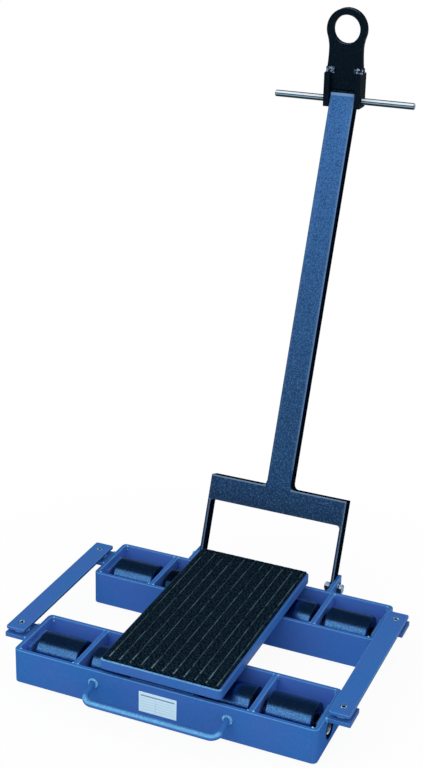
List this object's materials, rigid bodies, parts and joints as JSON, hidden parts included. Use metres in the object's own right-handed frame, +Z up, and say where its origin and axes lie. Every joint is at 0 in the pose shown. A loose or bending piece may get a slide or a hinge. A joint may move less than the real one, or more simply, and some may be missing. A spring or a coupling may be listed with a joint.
{
  "type": "machine skate",
  "caption": "Steerable load-moving skate: roller carriages tied by bars swivel under a ribbed load plate and are turned by a tow bar with a cross handle and towing eye.",
  "frame": {"origin": "middle of the mat's top face, where the load rests", "axes": "+X along the rollers' axles, +Y towards the tow bar, +Z up"},
  "size_m": [0.692, 0.9511, 1.1797],
  "materials": {
    "blue_paint": "gloss enamel",
    "dark_paint": "semi-gloss enamel",
    "eye_paint": "semi-gloss enamel",
    "mat_rubber": "matt, ribbed",
    "roller_steel": "blackened, turned",
    "zinc_plate": "bright zinc plate",
    "plain_steel": "oiled steel",
    "bronze": "plain bearing bronze",
    "blank_label": "blank printed film"
  },
  "bodies": {
    "load_plate": {"load_plate": "blue_paint", "ribbed_mat": "mat_rubber", "king_pins": "plain_steel", "king_pin_fasteners": "zinc_plate"},
    "front_carriage": {"front_frame_sides": "blue_paint", "front_frame_ends": "blue_paint", "front_dividers": "blue_paint", "front_axle_pads": "blue_paint", "front_pivot_block": "blue_paint", "front_king_bush": "bronze", "front_thrust_washer": "bronze", "front_axles": "plain_steel", "front_axle_fasteners": "zinc_plate", "front_spacers": "plain_steel", "front_tie_lugs": "blue_paint", "front_tie_bosses": "blue_paint", "front_tie_fasteners": "zinc_plate", "carry_handle": "blue_paint", "rating_plate": "blank_label"},
    "rear_carriage": {"rear_frame_sides": "blue_paint", "rear_frame_ends": "blue_paint", "rear_dividers": "blue_paint", "rear_axle_pads": "blue_paint", "rear_pivot_block": "blue_paint", "rear_king_bush": "bronze", "rear_thrust_washer": "bronze", "rear_axles": "plain_steel", "rear_axle_fasteners": "zinc_plate", "rear_spacers": "plain_steel", "rear_tie_lugs": "blue_paint", "rear_tie_bosses": "blue_paint", "rear_tie_fasteners": "zinc_plate", "tow_ears": "blue_paint", "pivot_bolts": "zinc_plate", "pivot_nuts_and_washers": "zinc_plate"},
    "tie_bar_left": {"tie_bar_left": "blue_paint"},
    "tie_bar_right": {"tie_bar_right": "blue_paint"},
    "front_roller_1": {"front_roller_1": "roller_steel", "front_roller_bushes_1": "bronze"},
    "front_roller_2": {"front_roller_2": "roller_steel", "front_roller_bushes_2": "bronze"},
    "front_roller_3": {"front_roller_3": "roller_steel", "front_roller_bushes_3": "bronze"},
    "front_roller_4": {"front_roller_4": "roller_steel", "front_roller_bushes_4": "bronze"},
    "rear_roller_1": {"rear_roller_1": "roller_steel", "rear_roller_bushes_1": "bronze"},
    "rear_roller_2": {"rear_roller_2": "roller_steel", "rear_roller_bushes_2": "bronze"},
    "rear_roller_3": {"rear_roller_3": "roller_steel", "rear_roller_bushes_3": "bronze"},
    "rear_roller_4": {"rear_roller_4": "roller_steel", "rear_roller_bushes_4": "bronze"},
    "tow_bar": {"tow_bar": "dark_paint", "bar_end_cap": "mat_rubber", "yoke_crossbar": "dark_paint", "yoke_legs": "dark_paint", "cross_rod": "zinc_plate"},
    "towing_eye": {"eye_plate": "eye_paint", "cheek_plates": "eye_paint"}
  },
  "joints": [
    {"name": "rear_swivel", "type": "hinge", "parent": "load_plate", "child": "rear_carriage", "pos_m": [0, 0.161, -0.033], "axis": [0, 0, 1], "range_deg": [-30, 30]},
    {"name": "front_swivel", "type": "hinge", "parent": "load_plate", "child": "front_carriage", "pos_m": [0, -0.161, -0.033], "axis": [0, 0, 1], "range_deg": [-30, 30]},
    {"name": "tie_left_turn", "type": "hinge", "parent": "rear_carriage", "child": "tie_bar_left", "pos_m": [-0.324, 0.161, -0.033], "axis": [0, 0, 1], "range_deg": [-30, 30]},
    {"name": "tie_right_turn", "type": "hinge", "parent": "rear_carriage", "child": "tie_bar_right", "pos_m": [0.324, 0.161, -0.033], "axis": [0, 0, 1], "range_deg": [-30, 30]},
    {"name": "tow_bar_tilt", "type": "hinge", "parent": "rear_carriage", "child": "tow_bar", "pos_m": [0, 0.305, -0.067], "axis": [-1, 0, 0], "range_deg": [-65, 65]},
    {"name": "eye_turn", "type": "hinge", "parent": "tow_bar", "child": "towing_eye", "pos_m": [0, 0.65027, 0.88162], "axis": [-1, 0, 0], "range_deg": [-88, 131]},
    {"name": "front_roller_1_spin", "type": "hinge", "parent": "front_carriage", "child": "front_roller_1", "pos_m": [-0.2325, -0.161, -0.07], "axis": [1, 0, 0], "continuous": true},
    {"name": "front_roller_2_spin", "type": "hinge", "parent": "front_carriage", "child": "front_roller_2", "pos_m": [-0.1155, -0.161, -0.07], "axis": [1, 0, 0], "continuous": true},
    {"name": "front_roller_3_spin", "type": "hinge", "parent": "front_carriage", "child": "front_roller_3", "pos_m": [0.1155, -0.161, -0.07], "axis": [1, 0, 0], "continuous": true},
    {"name": "front_roller_4_spin", "type": "hinge", "parent": "front_carriage", "child": "front_roller_4", "pos_m": [0.2325, -0.161, -0.07], "axis": [1, 0, 0], "continuous": true},
    {"name": "rear_roller_1_spin", "type": "hinge", "parent": "rear_carriage", "child": "rear_roller_1", "pos_m": [-0.2325, 0.161, -0.07], "axis": [1, 0, 0], "continuous": true},
    {"name": "rear_roller_2_spin", "type": "hinge", "parent": "rear_carriage", "child": "rear_roller_2", "pos_m": [-0.1155, 0.161, -0.07], "axis": [1, 0, 0], "continuous": true},
    {"name": "rear_roller_3_spin", "type": "hinge", "parent": "rear_carriage", "child": "rear_roller_3", "pos_m": [0.1155, 0.161, -0.07], "axis": [1, 0, 0], "continuous": true},
    {"name": "rear_roller_4_spin", "type": "hinge", "parent": "rear_carriage", "child": "rear_roller_4", "pos_m": [0.2325, 0.161, -0.07], "axis": [1, 0, 0], "continuous": true}
  ],
  "couplings": [
    {"joint": "front_swivel", "follows": "rear_swivel", "ratio": 1},
    {"joint": "tie_left_turn", "follows": "rear_swivel", "ratio": -1},
    {"joint": "tie_right_turn", "follows": "rear_swivel", "ratio": -1}
  ]
}
